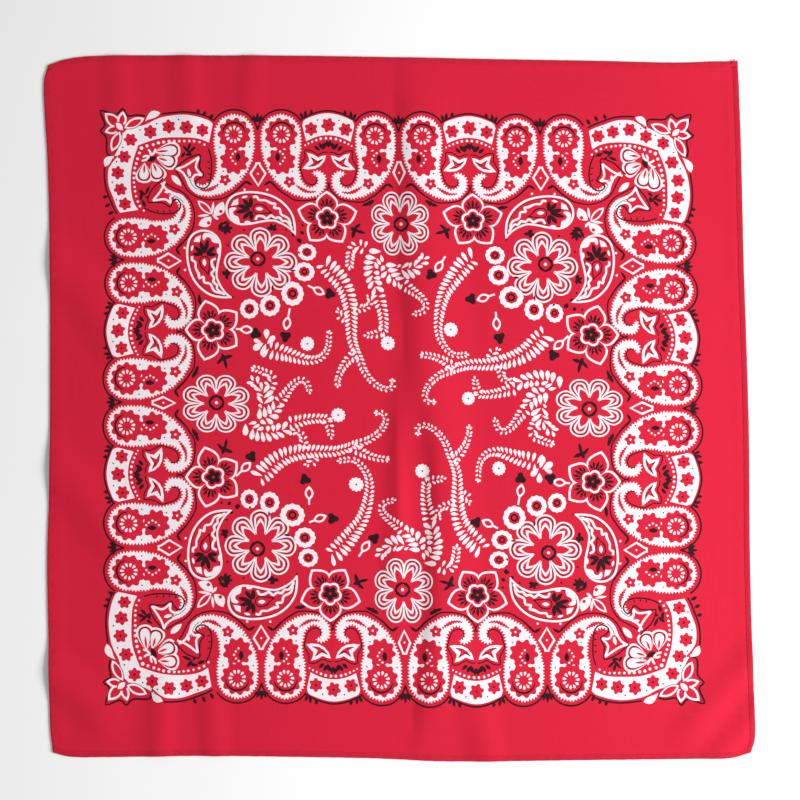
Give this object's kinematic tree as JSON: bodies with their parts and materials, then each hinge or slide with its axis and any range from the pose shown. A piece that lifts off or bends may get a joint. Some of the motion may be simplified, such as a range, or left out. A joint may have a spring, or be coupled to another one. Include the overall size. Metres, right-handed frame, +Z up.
{
  "type": "bandana",
  "caption": "Square cotton bandana laid flat, with turned hems, an all-over paisley and flower print, and soft fold ripples.",
  "frame": {"origin": "on the surface that the cloth lies on, under the middle of its bounding box", "axes": "+X to the right and +Y to the top edge of the cloth as the picture shows it, +Z up through its thickness"},
  "size_m": [0.559, 0.5568, 0.0035],
  "materials": {
    "printed_cotton": "matte plain-weave cotton, dyed red and printed in white and black",
    "hem_cotton": "matte plain-weave cotton, dyed red, turned twice",
    "sewing_thread": "fine red sewing thread"
  },
  "bodies": {
    "root": {"panel": "printed_cotton", "hem_top": "hem_cotton", "hem_bottom": "hem_cotton", "hem_left": "hem_cotton", "hem_right": "hem_cotton"}
  },
  "joints": []
}
